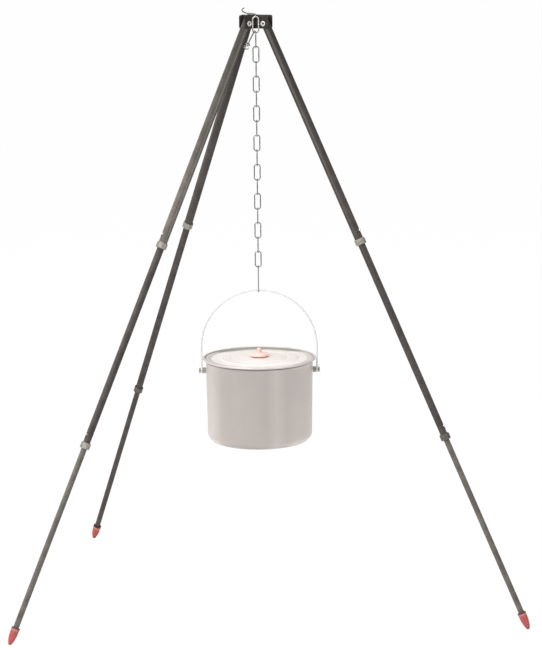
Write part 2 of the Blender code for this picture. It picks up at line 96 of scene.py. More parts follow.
def leg_place(side):
    """A leg's own axes: -Z down the leg, +Y square to it and inward, origin on the hub rivet."""
    down = Vector(JOINTS[f"leg_{side}_middle_slide"]["axis"]).normalized()
    inward = Vector(JOINTS[f"leg_{side}_upper_button_press"]["axis"]).normalized()
    up = -down
    return axes(inward.cross(up), inward, up, joint_place(f"leg_{side}_fold"))


# ---- shapes ---------------------------------------------------------------------------------------
def arc(centre, radius, start, end, steps):
    """Points on an arc, in degrees."""
    turns = [math.radians(start + (end - start) * i / steps) for i in range(steps + 1)]
    return [(centre[0] + radius * math.cos(t), centre[1] + radius * math.sin(t)) for t in turns]


def rounded(profile, radius, closed=False, steps=4):
    """The profile with each corner replaced by a small curve."""
    count = len(profile)
    result = []
    for i, point in enumerate(profile):
        if not closed and i in (0, count - 1):
            result.append(tuple(point))
            continue
        here = Vector(point)
        before = Vector(profile[i - 1]) - here
        after = Vector(profile[(i + 1) % count]) - here
        start = here + before.normalized() * min(radius, before.length * 0.45)
        end = here + after.normalized() * min(radius, after.length * 0.45)
        for k in range(steps + 1):
            t = k / steps
            result.append(tuple(start * (1 - t) ** 2 + here * 2 * t * (1 - t) + end * t ** 2))
    return result


def lathe(profile, sides=TURN, closed=False):
    """A (radius, height) profile turned about Z. Ends on the axis close to a point."""
    work = bmesh.new()
    rings = []
    for radius, height in profile:
        if radius < 1e-7:
            rings.append([work.verts.new((0, 0, height))] * sides)
            continue
        turns = [2 * math.pi * i / sides for i in range(sides)]
        rings.append([work.verts.new((radius * math.cos(t), radius * math.sin(t), height))
                      for t in turns])
    pairs = list(zip(rings, rings[1:]))
    if closed:
        pairs.append((rings[-1], rings[0]))
    for first, second in pairs:
        for i in range(sides):
            j = (i + 1) % sides
            corners = []
            for vertex in (first[i], second[i], second[j], first[j]):
                if vertex not in corners:
                    corners.append(vertex)
            if len(corners) > 2:
                work.faces.new(corners)
    return finished(work)


def sweep(points, radius, closed=False, ring=WIRE_RING, swell=None):
    """A round wire along points, with domed ends unless it is closed."""
    points = [Vector(point) for point in points]
    radii = [radius * (swell(i / len(points)) if swell else 1) for i in range(len(points))]
    if not closed:
        points, radii = with_domes(points, radii)
    count = len(points)
    tangents = []
    for i in range(count):
        after = points[(i + 1) % count] if closed or i < count - 1 else points[i]
        before = points[i - 1] if closed or i > 0 else points[i]
        tangents.append((after - before).normalized())
    normal = tangents[0].orthogonal().normalized()
    if closed and abs(tangents[0].dot(Vector((0, 1, 0)))) < 0.1:
        normal = Vector((0, 1, 0))
    work = bmesh.new()
    rings = []
    for point, tangent, size in zip(points, tangents, radii):
        normal = (normal - tangent * normal.dot(tangent)).normalized()
        other = tangent.cross(normal)
        turns = [2 * math.pi * i / ring for i in range(ring)]
        rings.append([work.verts.new(point + (normal * math.cos(t) + other * math.sin(t)) * size)
                      for t in turns])
    pairs = list(zip(rings, rings[1:]))
    if closed:
        pairs.append((rings[-1], rings[0]))
    for first, second in pairs:
        for i in range(ring):
            j = (i + 1) % ring
            work.faces.new((first[i], first[j], second[j], second[i]))
    if not closed:
        work.faces.new(list(reversed(rings[0])))
        work.faces.new(rings[-1])
    return finished(work)


def with_domes(points, radii):
    """Shorten a wire by its radius at both ends and let it close there as a dome."""
    steps = 4
    turns = [math.radians(8 + 82 * i / steps) for i in range(steps + 1)]
    start = (points[0] - points[1]).normalized()
    end = (points[-1] - points[-2]).normalized()
    size = radii[0]
    first = points[0] - start * size
    last = points[-1] - end * size
    head = [first + start * size * math.cos(t) for t in turns]
    tail = [last + end * size * math.cos(t) for t in reversed(turns)]
    shrink = [size * math.sin(t) for t in turns]
    clear = size * 1.2
    middle = [point for point in points[1:-1]
              if (point - points[0]).length > clear and (point - points[-1]).length > clear]
    return head + middle + tail, shrink + [size] * len(middle) + shrink[::-1]


def finished(work):
    """The bmesh as a mesh with its faces pointing out, smooth but for its sharp edges."""
    bmesh.ops.recalc_face_normals(work, faces=work.faces)
    mesh = bpy.data.meshes.new("shape")
    work.to_mesh(mesh)
    work.free()
    mesh.shade_smooth()
    mesh.set_sharp_from_angle(angle=math.radians(40))
    return mesh


def piece(name, mesh, body, node, slot, place=Matrix.Identity(4), look=None):
    """Show a mesh in place of a CAD node, riding on the node's body.

    The mesh is moved to its place, and keeps its own axes' coordinates for the materials.
    """
    own = mesh.attributes.new("own", "FLOAT_VECTOR", "POINT")
    own.data.foreach_set("vector", [value for vertex in mesh.vertices for value in vertex.co])
    mesh.transform(place)
    obj = bpy.data.objects.new(name, mesh)
    bpy.context.scene.collection.objects.link(obj)
    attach(obj, body)
    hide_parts(node)
    obj.data.materials.clear()
    obj.data.materials.append(MATERIALS[look or slot])
    return obj


def baked(mesh, place, edits):
    """The mesh after modifiers that edits adds to an object holding it."""
    holder = bpy.data.objects.new("holder", mesh)
    holder.matrix_world = place
    bpy.context.scene.collection.objects.link(holder)
    helpers = edits(holder)
    bpy.context.view_layer.update()
    graph = bpy.context.evaluated_depsgraph_get()
    result = bpy.data.meshes.new_from_object(holder.evaluated_get(graph))
    for obj in [holder] + helpers:
        bpy.data.objects.remove(obj, do_unlink=True)
    result.shade_smooth()
    result.set_sharp_from_angle(angle=math.radians(35))
    return result


def drilled(mesh, holes):
    """The mesh with round holes, each (middle, direction, radius, length) in the mesh's axes."""
    def edits(holder):
        helpers = []
        for middle, direction, radius, length in holes:
            half = length / 2
            drill = lathe([(0, half), (radius, half), (radius, -half), (0, -half)], sides=32)
            cutter = bpy.data.objects.new("drill", drill)
            turn = Vector(direction).to_track_quat("Z", "Y").to_matrix().to_4x4()
            cutter.matrix_world = holder.matrix_world @ Matrix.Translation(middle) @ turn
            bpy.context.scene.collection.objects.link(cutter)
            boolean = holder.modifiers.new("drill", "BOOLEAN")
            boolean.operation = "DIFFERENCE"
            boolean.solver = "EXACT"
            boolean.object = cutter
            helpers.append(cutter)
        return helpers
    return baked(mesh, Matrix.Identity(4), edits)


# ---- materials ------------------------------------------------------------------------------------
def linear(*srgb):
    """Scene-linear colour from 0-255 display values."""
    shares = [value / 255 for value in srgb]
    return tuple(share / 12.92 if share <= 0.0405 else ((share + 0.055) / 1.055) ** 2.4
                 for share in shares)


class Nodes:
    """Short names for building one material's node tree, in the piece's own coordinates."""

    def __init__(self, name, roughness, metallic):
        self.material = bpy.data.materials.new(name)
        self.material.use_nodes = True
        self.tree = self.material.node_tree
        self.shader = self.tree.nodes["Principled BSDF"]
        self.shader.inputs["Roughness"].default_value = roughness
        self.shader.inputs["Metallic"].default_value = metallic
        reader = self.tree.nodes.new("ShaderNodeAttribute")
        reader.attribute_name = "own"
        self.own = reader.outputs["Vector"]
        self.normal = None

    def link(self, source, target):
        self.tree.links.new(source, target)

    def stretched(self, scale):
        """The piece's own coordinates, each times a scale."""
        mapping = self.tree.nodes.new("ShaderNodeMapping")
        mapping.inputs["Scale"].default_value = scale
        self.link(self.own, mapping.inputs["Vector"])
        return mapping.outputs["Vector"]

    def noise(self, scale, detail=3, stretch=None, roughness=0.55):
        texture = self.tree.nodes.new("ShaderNodeTexNoise")
        texture.inputs["Scale"].default_value = scale
        texture.inputs["Detail"].default_value = detail
        texture.inputs["Roughness"].default_value = roughness
        self.link(self.stretched(stretch) if stretch else self.own, texture.inputs["Vector"])
        return texture.outputs["Fac"]

    def ramp(self, source, *stops):
        """Colour ramp with (position, colour) stops."""
        ramp = self.tree.nodes.new("ShaderNodeValToRGB")
        elements = ramp.color_ramp.elements
        while len(elements) < len(stops):
            elements.new(0.5)
        for element, (position, colour) in zip(elements, stops):
            element.position = position
            element.color = (*colour, 1)
        self.link(source, ramp.inputs["Fac"])
        return ramp.outputs["Color"]

    def range(self, source, low, high, to_low, to_high):
        """Map a value from one range to another."""
        node = self.tree.nodes.new("ShaderNodeMapRange")
        for key, value in (("From Min", low), ("From Max", high), ("To Min", to_low),
                           ("To Max", to_high)):
            node.inputs[key].default_value = value
        self.link(source, node.inputs["Value"])
        return node.outputs["Result"]

    def math(self, operation, *values):
        node = self.tree.nodes.new("ShaderNodeMath")
        node.operation = operation
        for slot, value in zip(node.inputs, values):
            if isinstance(value, (int, float)):
                slot.default_value = value
            else:
                self.link(value, slot)
        return node.outputs[0]

    def mix(self, factor, first, second, blend="MIX"):
        """Mix two colours; each may be a colour or a socket."""
        node = self.tree.nodes.new("ShaderNodeMix")
        node.data_type = "RGBA"
        node.blend_type = blend
        colour_inputs = [slot for slot in node.inputs if slot.type == "RGBA"]
        for slot, value in zip([node.inputs[0]] + colour_inputs, (factor, first, second)):
            if isinstance(value, (int, float)):
                slot.default_value = value
            elif isinstance(value, tuple):
                slot.default_value = (*value, 1)
            else:
                self.link(value, slot)
        return next(slot for slot in node.outputs if slot.type == "RGBA")

    def split(self):
        """X, Y and Z of the piece's own coordinates."""
        node = self.tree.nodes.new("ShaderNodeSeparateXYZ")
        self.link(self.own, node.inputs[0])
        return node.outputs

    def across(self, x, y):
        """Distance from the piece's own Z axis."""
        return self.math("SQRT", self.math("ADD", self.math("MULTIPLY", x, x),
                                           self.math("MULTIPLY", y, y)))

    def pointiness(self):
        return self.tree.nodes.new("ShaderNodeNewGeometry").outputs["Pointiness"]

    def colour(self, source):
        self.link(source, self.shader.inputs["Base Color"])

    def roughness(self, source):
        self.link(source, self.shader.inputs["Roughness"])

    def bump(self, source, distance, strength=1.0):
        """Add a bump layer under the ones already there."""
        node = self.tree.nodes.new("ShaderNodeBump")
        node.inputs["Strength"].default_value = strength
        node.inputs["Distance"].default_value = distance
        self.link(source, node.inputs["Height"])
        if self.normal is not None:
            self.link(self.normal, node.inputs["Normal"])
        self.normal = node.outputs["Normal"]
        self.link(self.normal, self.shader.inputs["Normal"])


def powder_coat(name, dark, light, worn):
    """Fine-textured powder coat: drawn streaks, darker towards the hub, worn edges."""
    m = Nodes(name, 0.5, 0.1)
    patches = m.noise(38, detail=5)
    streaks = m.noise(420, detail=4, stretch=(1, 1, 0.02))
    grain = m.noise(1300, detail=3)
    base = m.ramp(patches, (0.35, dark), (0.65, light))
    base = m.mix(m.range(streaks, 0.35, 0.75, 0.0, 0.30), base, light)
    base = m.mix(m.range(grain, 0.56, 0.70, 0.0, 0.45), base, worn)
    base = m.mix(m.range(grain, 0.30, 0.44, 0.45, 0.0), base, linear(48, 44, 41))
    # Darker towards the hub, within 40 cm of the hub rivet.
    hub_darkening = m.range(m.split()[2], -0.40, -0.02, 0.0, 0.75)
    base = m.mix(hub_darkening, base, linear(42, 39, 36))
    edge = m.range(m.pointiness(), 0.53, 0.60, 0.0, 0.55)
    base = m.mix(edge, base, worn)
    # Painted shadow of each snap button's dome: a dark patch on the tube just below the button.
    x, y, along = m.split()
    under_button = m.math("MULTIPLY", m.math("COMPARE", x, 0.0, 0.0022),
                          m.math("LESS_THAN", y, 0.0))
    for height in BUTTON_HEIGHTS:
        button_shadow = m.math("COMPARE", along, height - 0.0048, 0.0018)
        base = m.mix(m.math("MULTIPLY", button_shadow, under_button), base, linear(22, 20, 18))
    m.colour(base)
    m.roughness(m.range(m.noise(900, detail=3), 0.3, 0.7, 0.46, 0.64))
    m.shader.inputs["Specular IOR Level"].default_value = 0.35
    m.bump(grain, 0.00006, 0.7)
    m.bump(m.noise(240, detail=2), 0.00008, 0.35)
    return m.material


def black_plate():
    """Near-black coated plate, lightly rubbed along its edges."""
    m = Nodes("black_steel_plate", 0.5, 0.0)
    dark = linear(30, 28, 26)
    light = linear(52, 48, 45)
    worn = linear(96, 90, 84)
    base = m.ramp(m.noise(130, detail=6, roughness=0.65), (0.38, dark), (0.66, light))
    grain = m.noise(2300, detail=3)
    base = m.mix(m.range(grain, 0.58, 0.74, 0.0, 0.30), base, worn)
    edge = m.range(m.pointiness(), 0.52, 0.58, 0.0, 0.45)
    m.colour(m.mix(edge, base, worn))
    m.roughness(m.range(m.noise(700), 0.3, 0.7, 0.45, 0.66))
    m.shader.inputs["Specular IOR Level"].default_value = 0.25
    m.bump(grain, 0.00007, 0.8)
    return m.material


def collar_metal(name, dull, light, bright):
    """Dull drawn sleeve with fine scratches round it and painted shade in its corners."""
    m = Nodes(name, 0.45, 0.35)
    base = m.ramp(m.noise(160, detail=5), (0.3, dull), (0.7, light))
    scratches = m.noise(500, detail=5, stretch=(0.15, 0.15, 4))
    base = m.mix(m.range(scratches, 0.5, 0.75, 0.0, 0.35), base, bright)
    # Painted shade: darker where the surface curves inward, in corners and creases.
    painted_crease_shade = m.range(m.pointiness(), 0.42, 0.49, 0.75, 0.0)
    m.colour(m.mix(painted_crease_shade, base, linear(50, 46, 42)))
    m.roughness(m.range(scratches, 0.3, 0.7, 0.40, 0.58))
    m.bump(scratches, 0.00003, 0.5)
    return m.material


def zinc(name, dull, bright, rubbed, metallic, foot=None):
    """Zinc-plated wire: faintly mottled, greyer where it rubs; painted light ends at the foot."""
    m = Nodes(name, 0.22, metallic)
    mottle = m.noise(420, detail=5, roughness=0.6)
    base = m.ramp(mottle, (0.32, dull), (0.66, bright))
    rub = m.range(m.noise(90, detail=3), 0.55, 0.70, 0.0, 0.4)
    base = m.mix(rub, base, rubbed)
    # Painted light: a lit copy keeps its bright colours only above the foot; below it greys to the
    # rubbed colour.
    if foot is not None:
        base = m.mix(m.range(m.split()[2], foot - 0.002, foot + 0.002, 1.0, 0.0), base, rubbed)
    m.colour(base)
    m.roughness(m.range(mottle, 0.3, 0.7, 0.18, 0.36))
    m.bump(m.noise(1500, detail=2), 0.00002, 0.5)
    return m.material


def red_rubber(rim_height):
    """Moulded rubber cup: chalky rolled rim, scuffed tip, painted shadow on its lip and mouth."""
    m = Nodes("red_rubber", 0.6, 0.0)
    core = m.ramp(m.noise(260, detail=4), (0.3, linear(158, 62, 64)), (0.7, linear(200, 96, 94)))
    x, y, up = m.split()
    rim = m.range(up, rim_height - 0.0090, rim_height - 0.0050, 0.0, 0.8)
    base = m.mix(rim, core, linear(190, 132, 126))
    # Painted shadow on the top of the rolled lip.
    lip = m.range(up, rim_height - 0.0032, rim_height - 0.0022, 0.0, 0.85)
    base = m.mix(lip, base, linear(70, 34, 30))
    tip = m.range(up, rim_height - 0.0430, rim_height - 0.0350, 0.9, 0.0)
    base = m.mix(m.math("MULTIPLY", tip, m.range(m.noise(500), 0.35, 0.65, 0.4, 1.0)), base,
                 linear(100, 58, 54))
    # Painted shadow in the mouth, round the tube, near the rim.
    mouth = m.range(m.across(x, y), 0.0072, 0.0082, 0.9, 0.0)
    near_rim = m.range(up, rim_height - 0.0090, rim_height - 0.0080, 0.0, 1.0)
    m.colour(m.mix(m.math("MULTIPLY", mouth, near_rim), base, linear(62, 22, 20)))
    m.roughness(m.range(m.noise(800), 0.3, 0.7, 0.50, 0.72))
    m.bump(m.noise(1600, detail=3), 0.00008, 0.5)
    return m.material


def spun_aluminium(name, shades, metallic, bands, sheen=()):
    """Spun aluminium with fine rings.

    Bands are (measure, low, high, softness, colour). The measure is "height", "radius", or "back",
    which is the radius on the far side only. Sheen is (turn, grey) stops round the Z axis:
    painted reflection bands and painted light that multiply the colour.
    """
    m = Nodes(name, 0.36, metallic)
    rings = m.noise(60, detail=6, stretch=(0.6, 0.6, 60), roughness=0.7)
    base = m.ramp(m.noise(9, detail=3), (0.35, shades[0]), (0.68, shades[1]))
    base = m.mix(m.range(rings, 0.35, 0.70, 0.0, 0.30), base, shades[2])
    x, y, up = m.split()
    across = m.across(x, y)
    behind = m.range(y, -0.03, 0.08, 0.0, 1.0)
    sources = {"height": up, "radius": across, "back": m.math("MULTIPLY", behind, across)}
    # Painted reflection bands and painted light: the colour times a grey that changes round the Z
    # axis.
    if sheen:
        turn = m.math("MULTIPLY_ADD", m.math("ARCTAN2", y, x), 0.5 / math.pi, 0.5)
        stops = [(place, linear(grey, grey, grey)) for place, grey in sheen]
        base = m.mix(1.0, base, m.ramp(turn, *stops), "MULTIPLY")
    for source, low, high, soft, colour in bands:
        rising = m.range(sources[source], low - soft, low + soft, 0.0, 1.0)
        falling = m.range(sources[source], high - soft, high + soft, 1.0, 0.0)
        base = m.mix(m.math("MULTIPLY", rising, falling), base, colour)
    # Painted shade: darker where the surface curves inward, in creases and grooves.
    painted_crease_shade = m.range(m.pointiness(), 0.40, 0.49, 0.4, 0.0)
    m.colour(m.mix(painted_crease_shade, base, linear(130, 124, 118)))
    m.roughness(m.range(rings, 0.3, 0.7, 0.30, 0.46))
    m.bump(rings, 0.00004, 0.3)
    return m.material


def coral_knob():
    """Moulded heat-proof plastic with a faint marbling."""
    m = Nodes("coral_knob", 0.42, 0.0)
    swirl = m.noise(120, detail=6, roughness=0.6)
    m.colour(m.ramp(swirl, (0.3, linear(248, 200, 190)), (0.7, linear(251, 220, 211))))
    m.roughness(m.range(m.noise(600), 0.3, 0.7, 0.34, 0.5))
    m.bump(m.noise(1400, detail=2), 0.00003, 0.5)
    m.shader.inputs["Coat Weight"].default_value = 0.15
    return m.material


def button_height(section):
    """Height of a snap button's middle along its leg, from the hub rivet."""
    low, high = extent(f"leg_right_{section}_button", leg_place("right"))
    return (low.z + high.z) / 2


BUTTON_HEIGHTS = [button_height(section) for section in ("upper", "lower")]
FOOT_RIM = extent("leg_right_foot", leg_place("right"))[1].z
POT_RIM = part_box("pot_shell")[1].z
# Painted reflection bands and painted light round the pot's side, as greys that multiply its colour.
POT_PAINTED_SHEEN = (                             # from the left edge, round the front, to the right edge
    (0.03, 252), (0.085, 240), (0.125, 214), (0.20, 204), (0.27, 210), (0.30, 226), (0.335, 222),
    (0.375, 240), (0.43, 248), (0.47, 255),
)
MATERIALS = {
    "powder_coated_steel": powder_coat("powder_coated_steel", linear(84, 79, 73),
                                       linear(112, 106, 98), linear(160, 154, 144)),
    # Darker copy of the powder coat: painted shade on middle tubes, back-left leg, right upper tube.
    "shaded_tube": powder_coat("shaded_tube", linear(56, 51, 48), linear(78, 72, 68),
                               linear(122, 115, 107)),
    "black_steel_plate": black_plate(),
    "collar_metal": collar_metal("collar_metal", linear(130, 125, 118), linear(168, 163, 155),
                                 linear(190, 186, 178)),
    # Darker copy of the collar metal: painted shade on the right and back-left lower collars.
    "shaded_collar": collar_metal("shaded_collar", linear(76, 71, 66), linear(106, 100, 94),
                                linear(128, 122, 115)),
    "bright_zinc": zinc("bright_zinc", linear(112, 111, 109), linear(176, 175, 172),
                        linear(88, 87, 85), 1.0),
    "lit_zinc": zinc("lit_zinc", linear(206, 202, 199), linear(240, 236, 233),
                     linear(132, 130, 128), 0.55, foot=-0.008),
    "white_wire": zinc("white_wire", linear(220, 222, 221), linear(230, 232, 231),
                       linear(214, 216, 215), 0.0),
    "rivet_zinc": zinc("rivet_zinc", linear(190, 186, 181), linear(228, 224, 219),
                       linear(160, 155, 150), 0.3),
    "button_steel": zinc("button_steel", linear(222, 220, 216), linear(246, 245, 242),
                         linear(190, 188, 184), 0.4),
    "red_rubber": red_rubber(FOOT_RIM),
    "satin_aluminium": spun_aluminium(
        "satin_aluminium",
        (linear(217, 207, 201), linear(225, 215, 209), linear(236, 228, 223)), 0.45,
        # Painted shadow under the rolled lip: a dark band just below the rim.
        [("height", POT_RIM - 0.0085, POT_RIM - 0.0050, 0.0008, linear(128, 120, 114)),
         ("height", POT_RIM - 0.0040, POT_RIM + 0.0100, 0.0005, linear(224, 216, 213))],
        POT_PAINTED_SHEEN),
    "lid_aluminium": spun_aluminium(
        "lid_aluminium",
        (linear(233, 226, 220), linear(242, 235, 230), linear(248, 243, 239)), 0.1,
        # Painted shade: a darker ring at the lid's edge and a darker crescent on its far side.
        [("radius", 0.1090, 0.1300, 0.0012, linear(206, 200, 194)),
         ("back", 0.1000, 0.1300, 0.0080, linear(150, 146, 139))]),
    "ear_metal": spun_aluminium(
        "ear_metal",
        (linear(146, 142, 135), linear(164, 160, 153), linear(180, 176, 169)), 0.4, []),
    "coral_knob": coral_knob(),
}


# ---- legs -----------------------------------------------------------------------------------------
TUBE_WALL = {"upper": 1.25 * MM, "middle": 1.2 * MM, "lower": 1.05 * MM}
TUBE_END_ROUND = 0.35 * MM
BUTTON_CLEARANCE = 0.25 * MM
BUTTON_DOME = 2.2 * MM
HINGE_HOLE = 4.3 * MM                     # radius
COLLAR_CHAMFER = 6 * MM
COLLAR_EDGE = 0.9 * MM                    # the rolled shoulder's step in, and its height
COLLAR_EDGE_HEIGHT = 1.1 * MM
COLLAR_SOFT = 0.7 * MM
COLLAR_NECK_HEIGHT = 4 * MM
FOOT_HEIGHT = 40 * MM
FOOT_LIP = 1.5 * MM
FOOT_BALL = 4.5 * MM
FOOT_DEPTH = 28 * MM                      # of the hole for the tube
FOOT_INSET = 0.06 * MM                    # keeps the turned rubber inside the CAD's facets


def build_tube(side, section, place, holes):
    """A drawn tube with softly rounded ends."""
    node = f"leg_{side}_{section}_tube"
    low, high = extent(node, place)
    outer = high.x
    inner = outer - TUBE_WALL[section]
    profile = rounded([(outer, high.z), (outer, low.z), (inner, low.z), (inner, high.z)],
                      TUBE_END_ROUND, closed=True)
    mesh = lathe(profile, closed=True)
    if holes:
        mesh = drilled(mesh, holes)
    # Painted shade: these tubes take the darker copy of the powder coat.
    dark = section == "middle" or side == "back_left" or (section, side) == ("upper", "right")
    look = "shaded_tube" if dark else None
    piece(f"{node}_fine", mesh, f"leg_{side}_{section}", node, "powder_coated_steel", place, look)


def build_collar(side, section, place):
    """Octagonal drawn sleeve round a tube's end, with a rolled shoulder at both ends."""
    node = f"leg_{side}_{section}_collar"
    carrier = {"upper": "upper", "lower": "middle"}[section]
    inner_tube = {"upper": "middle", "lower": "lower"}[section]
    low, high = extent(node, place)
    bore = extent(f"leg_{side}_{carrier}_tube", place)[1].x + 0.2 * MM
    neck = extent(f"leg_{side}_{inner_tube}_tube", place)[1].x + 0.3 * MM
    half = high.x
    step = low.z + COLLAR_NECK_HEIGHT
    work = bmesh.new()

    def ring(size, height):
        edge = size - COLLAR_CHAMFER
        corners = ((size, -edge), (size, edge), (edge, size), (-edge, size), (-size, edge),
                   (-size, -edge), (-edge, -size), (edge, -size))
        return [work.verts.new((x, y, height)) for x, y in corners]

    rings = [ring(half - COLLAR_EDGE, low.z), ring(half, low.z + COLLAR_EDGE_HEIGHT),
             ring(half, high.z - COLLAR_EDGE_HEIGHT), ring(half - COLLAR_EDGE, high.z)]
    for first, second in zip(rings, rings[1:]):
        for i in range(8):
            j = (i + 1) % 8
            work.faces.new((first[i], first[j], second[j], second[i]))
    work.faces.new(list(reversed(rings[0])))
    work.faces.new(rings[-1])
    solid = finished(work)
    cutter = lathe([(0, high.z + 5 * MM), (bore + 0.5 * MM, high.z + 5 * MM),
                    (bore + 0.5 * MM, high.z - 0.6 * MM), (bore, high.z - 1.6 * MM),
                    (bore, step), (neck, step), (neck, low.z - 5 * MM), (0, low.z - 5 * MM)],
                   sides=64)

    def edits(holder):
        soft = holder.modifiers.new("soft", "BEVEL")
        soft.width = COLLAR_SOFT
        soft.segments = 3
        soft.limit_method = "ANGLE"
        soft.angle_limit = math.radians(20)
        bore_cutter = bpy.data.objects.new("bore", cutter)
        bpy.context.scene.collection.objects.link(bore_cutter)
        boolean = holder.modifiers.new("bore", "BOOLEAN")
        boolean.solver = "EXACT"
        boolean.operation = "DIFFERENCE"
        boolean.object = bore_cutter
        return [bore_cutter]

    mesh = baked(solid, Matrix.Identity(4), edits)
    # Painted shade: the right and back-left lower collars take the darker copy.
    look = "shaded_collar" if section == "lower" and side != "front_left" else None
    piece(f"{node}_fine", mesh, f"leg_{side}_{carrier}", node, "collar_metal", place, look)


def build_button(side, section, place):
    """Domed snap button with a step under its head."""
    node = f"leg_{side}_{section}_button"
    low, high = extent(node, place)
    middle = (low + high) / 2
    radius = (high.x - low.x) / 2
    own = place @ Matrix.Translation((0, 0, middle.z)) @ Matrix.Rotation(math.pi / 2, 4, "X")
    top = -low.y
    base = -high.y
    dome = [(radius * c, top - BUTTON_DOME + BUTTON_DOME * s)
            for c, s in arc((0, 0), 1, 90, 0, 10)]
    profile = [(0, top)] + dome[1:] + [(radius, base), (0, base)]
    piece(f"{node}_fine", lathe(profile, sides=40), f"leg_{side}_{section}_button", node,
          "bright_zinc", own, "button_steel")


def build_foot(side, place):
    """Bullet-shaped rubber cup: rolled rim, deep mouth, waist below the rim, blunt tip.

    The tip is cut off level with the ground.
    """
    node = f"leg_{side}_foot"
    low, high = extent(node, place)
    outer = high.x - FOOT_INSET
    rim = high.z
    bore = extent(f"leg_{side}_lower_tube", place)[1].x + 0.25 * MM
    tip = rim - FOOT_HEIGHT
    lip = arc((outer - FOOT_LIP, rim - FOOT_LIP), FOOT_LIP, 165, -60, 14)
    end = arc((0, tip + FOOT_BALL), FOOT_BALL - FOOT_INSET, -25, -90, 10)
    profile = [
        (0, rim - FOOT_DEPTH), (bore, rim - FOOT_DEPTH), (bore, rim - 6 * MM),
        (bore + 0.9 * MM, rim - 4 * MM),
    ] + lip + [
        (outer - 0.75 * MM, rim - 3.4 * MM), (outer - 0.35 * MM, rim - 4.6 * MM),
        (outer - 0.30 * MM, rim - 6.0 * MM), (outer - 0.85 * MM, rim - 7.4 * MM),
        (outer - 0.80 * MM, rim - 12 * MM), (outer - 1.2 * MM, rim - 18 * MM),
        (outer - 2.0 * MM, rim - 24 * MM), (outer - 3.2 * MM, rim - 29.5 * MM),
    ] + end[:-1] + [(0, tip + FOOT_INSET)]
    mesh = lathe(profile, sides=72)
    into = place.inverted()
    ground = into @ Vector((place @ Vector((0, 0, tip + FOOT_BALL))).xy.to_3d())
    below = into.to_3x3() @ Vector((0, 0, -1))
    mesh = drilled(mesh, [(ground + below * 0.02, below, 0.05, 0.04)])
    piece(f"{node}_fine", mesh, f"leg_{side}_lower", node, "red_rubber", place)


def build_leg(side):
    """One leg and its hub rivet."""
    place = leg_place(side)
    holes = {"upper": [], "middle": [], "lower": []}
    for section, tubes in (("upper", ("upper", "middle")), ("lower", ("middle", "lower"))):
        low, high = extent(f"leg_{side}_{section}_button", place)
        radius = (high.x - low.x) / 2 + BUTTON_CLEARANCE
        for tube in tubes:
            holes[tube].append(((0, -9 * MM, (low.z + high.z) / 2), (0, 1, 0), radius, 12 * MM))
    holes["upper"].append(((0, 0, 0), (1, 0, 0), HINGE_HOLE, 30 * MM))
    for section in ("upper", "middle", "lower"):
        build_tube(side, section, place, holes[section])
    for section in ("upper", "lower"):
        build_collar(side, section, place)
        build_button(side, section, place)
    build_foot(side, place)
    build_rivet(side)


# ---- hub ------------------------------------------------------------------------------------------
RIVET_FLANGE = 5.8 * MM                   # radii
RIVET_SHANK = 4.0 * MM
RIVET_BORE = 2.4 * MM
RIVET_ROLL = 0.6 * MM
RIVET_THICKNESS = 1.2 * MM
PLATE_CORNER = 4 * MM
PLATE_SOFT = 0.35 * MM
HOOK_WIRE = 1.25 * MM                     # wire radii
LINK_WIRE = 1.3 * MM
LINK_BEND = 4.2 * MM                      # of a hook round a link's wire
PLATE_BEND = 3.8 * MM                     # of the suspension hook over the front plate
FREE_END = (                              # of the suspension hook, from above the hub's axis
    (-24.5, -22.0, 16.8), (-37.5, -17.0, 9.5), (-20.0, -10.5, 4.5), (-6.0, -9.3, 3.5),
)


def build_rivet(side):
    """Hollow rivet with rolled flanges, along the leg's hinge axis."""
    node = f"hub_rivet_{side}"
    along = Vector(JOINTS[f"leg_{side}_fold"]["axis"]).normalized()
    place = along.to_track_quat("Z", "Y").to_matrix().to_4x4()
    place.translation = joint_place(f"leg_{side}_fold")
    low, high = extent(node, place)
    top = high.z
    rolled = arc((RIVET_FLANGE - RIVET_ROLL, top - RIVET_ROLL), RIVET_ROLL, 80, -80, 8)
    upper = [(RIVET_BORE + 0.9 * MM, top - 0.05 * MM)] + rolled
    upper += [(RIVET_SHANK, top - RIVET_THICKNESS)]
    lower = [(radius, -height) for radius, height in reversed(upper)]
    throat = [(RIVET_BORE, -top + 0.9 * MM), (RIVET_BORE, top - 0.9 * MM)]
    piece(f"{node}_fine", lathe(upper + lower + throat, sides=56, closed=True), "hub", node,
          "bright_zinc", place, "rivet_zinc")


def build_plate(name):
    """The CAD plate's own shape, with round wing corners and softened edges."""
    node = f"hub_plate_{name}"
    mesh = frame["nodes"][node].data.copy()
    work = bmesh.new()
    work.from_mesh(mesh)
    bmesh.ops.remove_doubles(work, verts=work.verts, dist=0.00001)
    bmesh.ops.dissolve_limit(work, angle_limit=math.radians(1), verts=work.verts, edges=work.edges)
    reach = max((vertex.co.xy - HUB.xy).length for vertex in work.verts)
    corners = []
    for edge in work.edges:
        start, end = (vertex.co for vertex in edge.verts)
        flat = abs(start.z - end.z) < 0.1 * MM
        nearest = min((start.xy - HUB.xy).length, (end.xy - HUB.xy).length)
        at_end = nearest > reach - 1.0 * MM
        if flat and at_end and (start - end).length < 3 * MM:
            corners.append(edge)
    bmesh.ops.bevel(work, geom=corners, offset=PLATE_CORNER, segments=6, affect="EDGES",
                    profile=0.5)
    work.to_mesh(mesh)
    work.free()

    def edits(holder):
        soft = holder.modifiers.new("soft", "BEVEL")
        soft.width = PLATE_SOFT
        soft.segments = 2
        soft.limit_method = "ANGLE"
        soft.angle_limit = math.radians(40)
        return []

    piece(f"{node}_fine", baked(mesh, Matrix.Identity(4), edits), "hub", node, "black_steel_plate")


